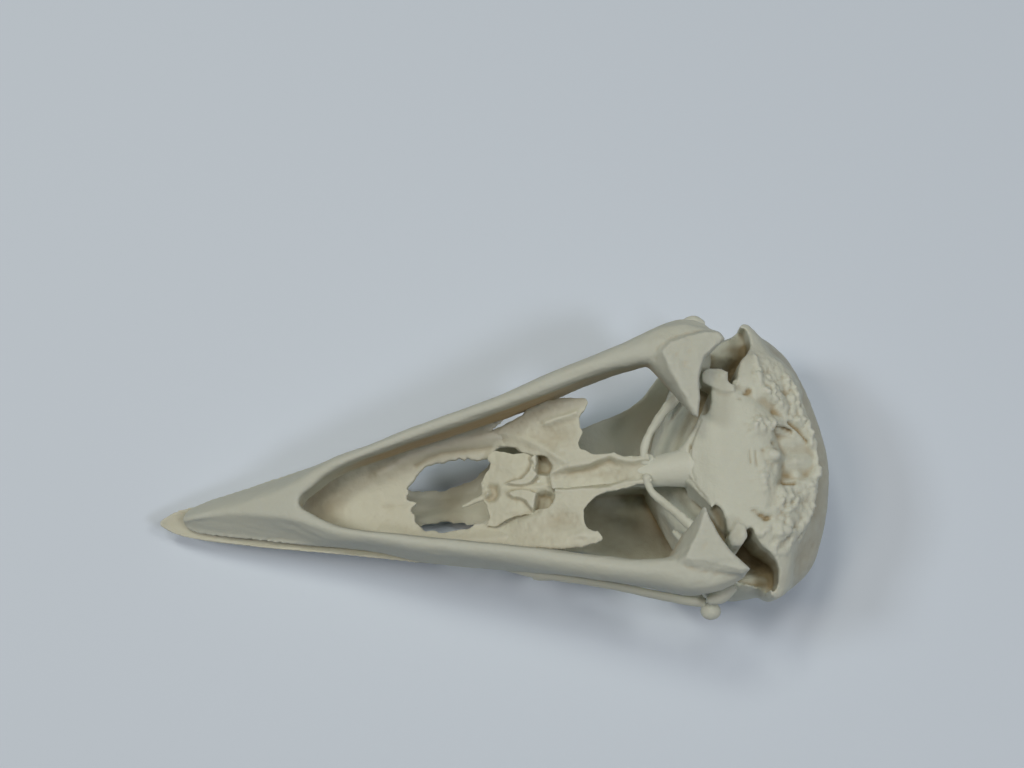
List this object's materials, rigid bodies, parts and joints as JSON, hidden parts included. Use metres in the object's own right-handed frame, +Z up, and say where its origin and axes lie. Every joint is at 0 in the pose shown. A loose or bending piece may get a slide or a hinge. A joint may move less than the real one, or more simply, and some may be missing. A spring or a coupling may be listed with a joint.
{
  "type": "raven skull",
  "caption": "Life-size raven skull with its lower jaw in place, lying upside down on the crown and the bill ridge, with the palate and the skull base facing up.",
  "frame": {"origin": "on the table, under the middle of the skull's bounding box", "axes": "+X from the bill tip back to the occiput, +Y to the animal's left, +Z up, which is towards the palate because the skull lies upside down"},
  "size_m": [0.1116, 0.0474, 0.0361],
  "materials": {
    "bone": "dry cream-coloured bone, matt, slightly porous"
  },
  "bodies": {
    "root": {"cranium": "bone", "jugal_left": "bone", "jugal_right": "bone", "lacrimal_left": "bone", "lacrimal_right": "bone", "mandible": "bone", "palatine_left": "bone", "palatine_right": "bone", "pterygoid_left": "bone", "pterygoid_right": "bone", "quadrate_left": "bone", "quadrate_right": "bone", "rostrum": "bone", "upper_bill": "bone", "vomer": "bone"}
  },
  "joints": []
}
